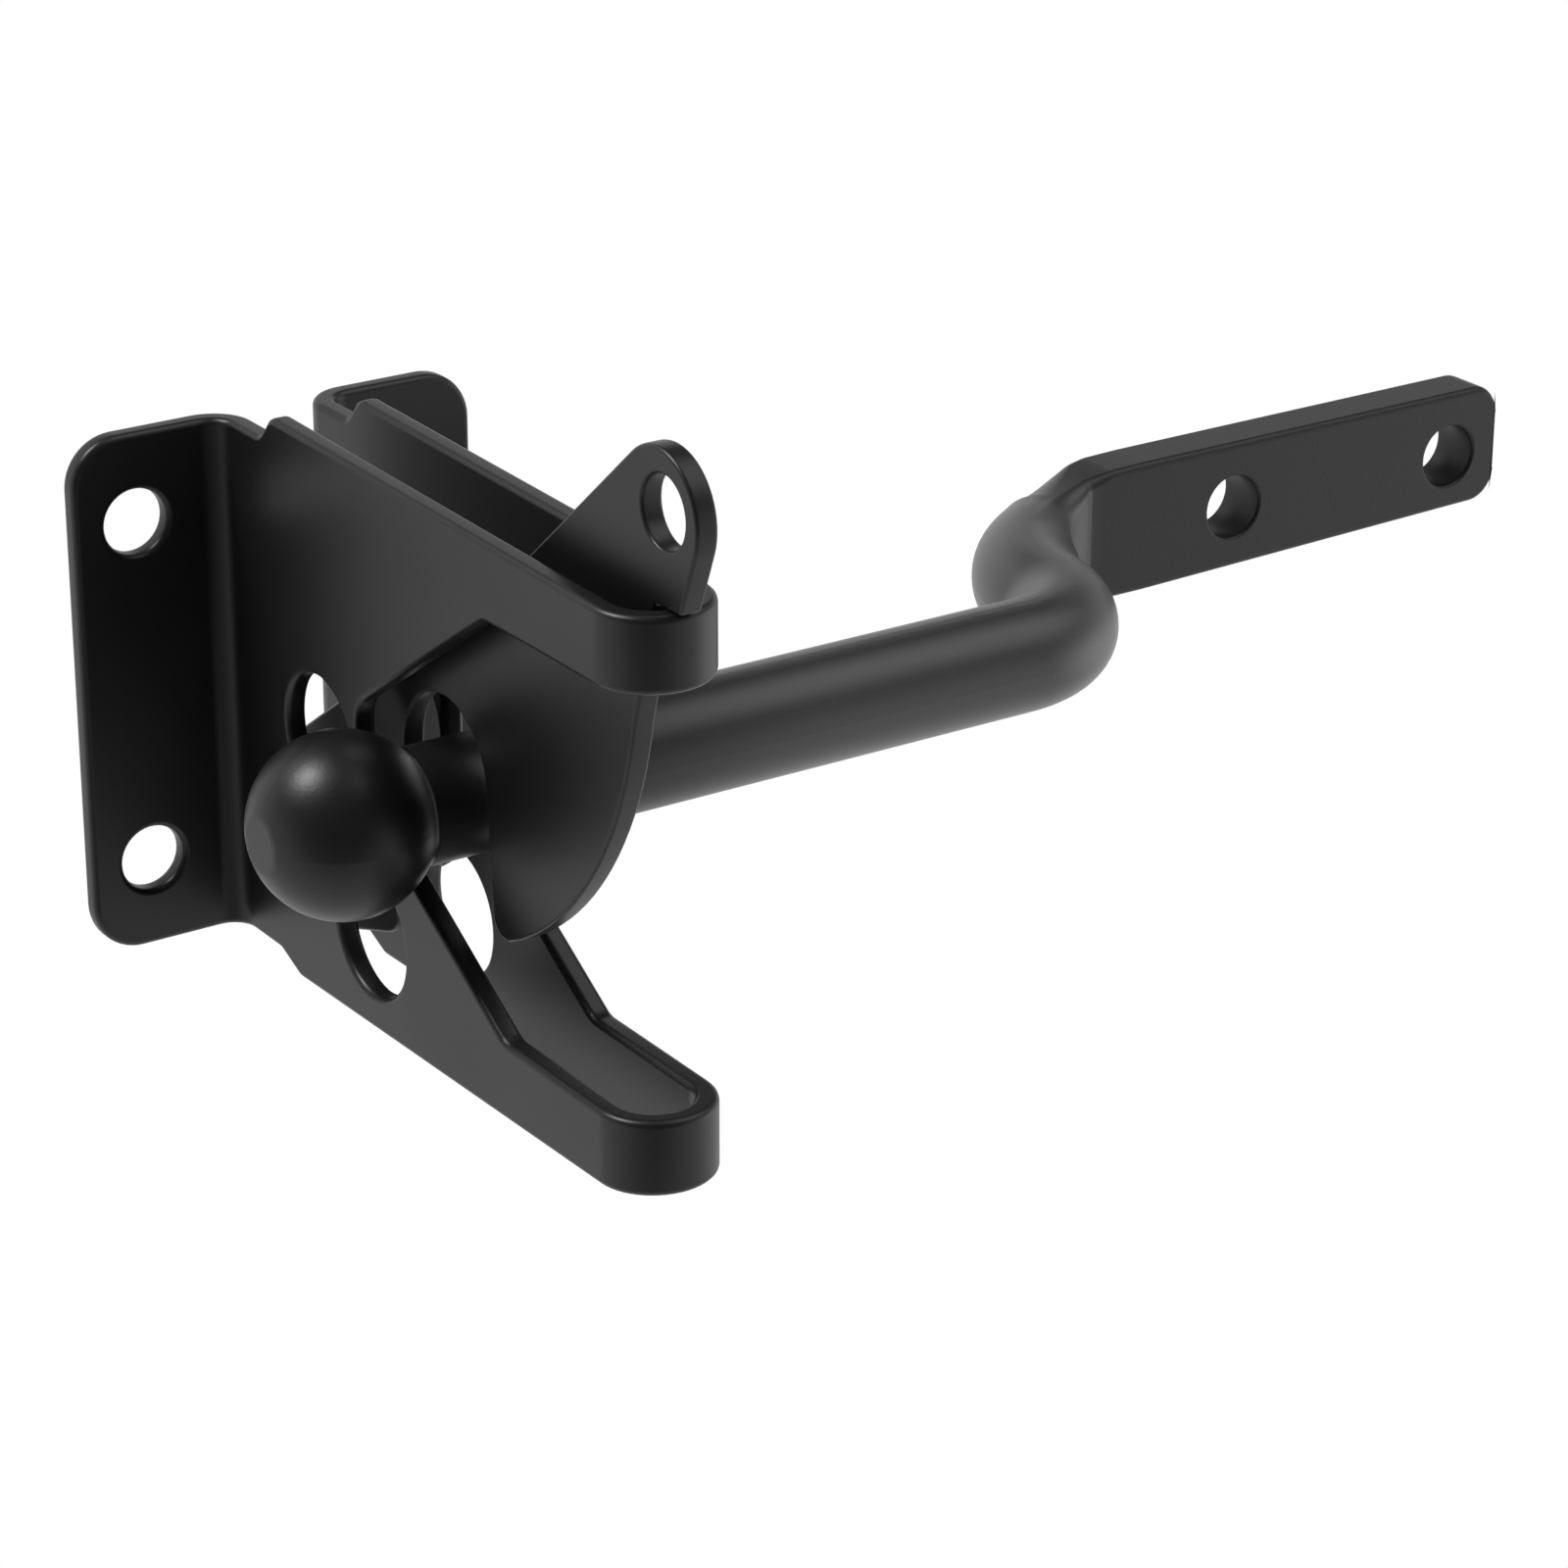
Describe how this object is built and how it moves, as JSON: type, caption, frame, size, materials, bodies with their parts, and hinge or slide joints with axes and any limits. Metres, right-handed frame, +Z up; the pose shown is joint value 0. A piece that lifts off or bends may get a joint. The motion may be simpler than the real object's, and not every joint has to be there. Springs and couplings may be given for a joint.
{
  "type": "gate latch",
  "caption": "Post-mounted gate latch: folded bracket with a funnel mouth, a sprung drop pawl, and a ball-ended striker bar with a flat screw-on strap.",
  "frame": {"origin": "centre of the bracket's screw pattern, on the plane where the bracket meets the post", "axes": "+X along the striker bar from its ball to its strap, +Y into the post, +Z up"},
  "size_m": [0.188, 0.0875, 0.0785],
  "materials": {
    "black_coat": "satin",
    "spring_steel": "satin"
  },
  "bodies": {
    "bracket": {"latch_bracket": "black_coat", "pivot_rivet": "black_coat", "torsion_spring": "spring_steel", "spring_spacer": "black_coat", "pawl_spacer": "black_coat", "striker_bar": "black_coat"},
    "pawl": {"pawl": "black_coat"}
  },
  "joints": [
    {"name": "pawl_swing", "type": "hinge", "parent": "bracket", "child": "pawl", "pos_m": [0, -0.013, -0.01], "axis": [-1, 0, 0], "range_deg": [0, 45], "stiffness_Nm_per_rad": 0.08, "springref_deg": -34.38, "deforming": ["torsion_spring"]}
  ]
}
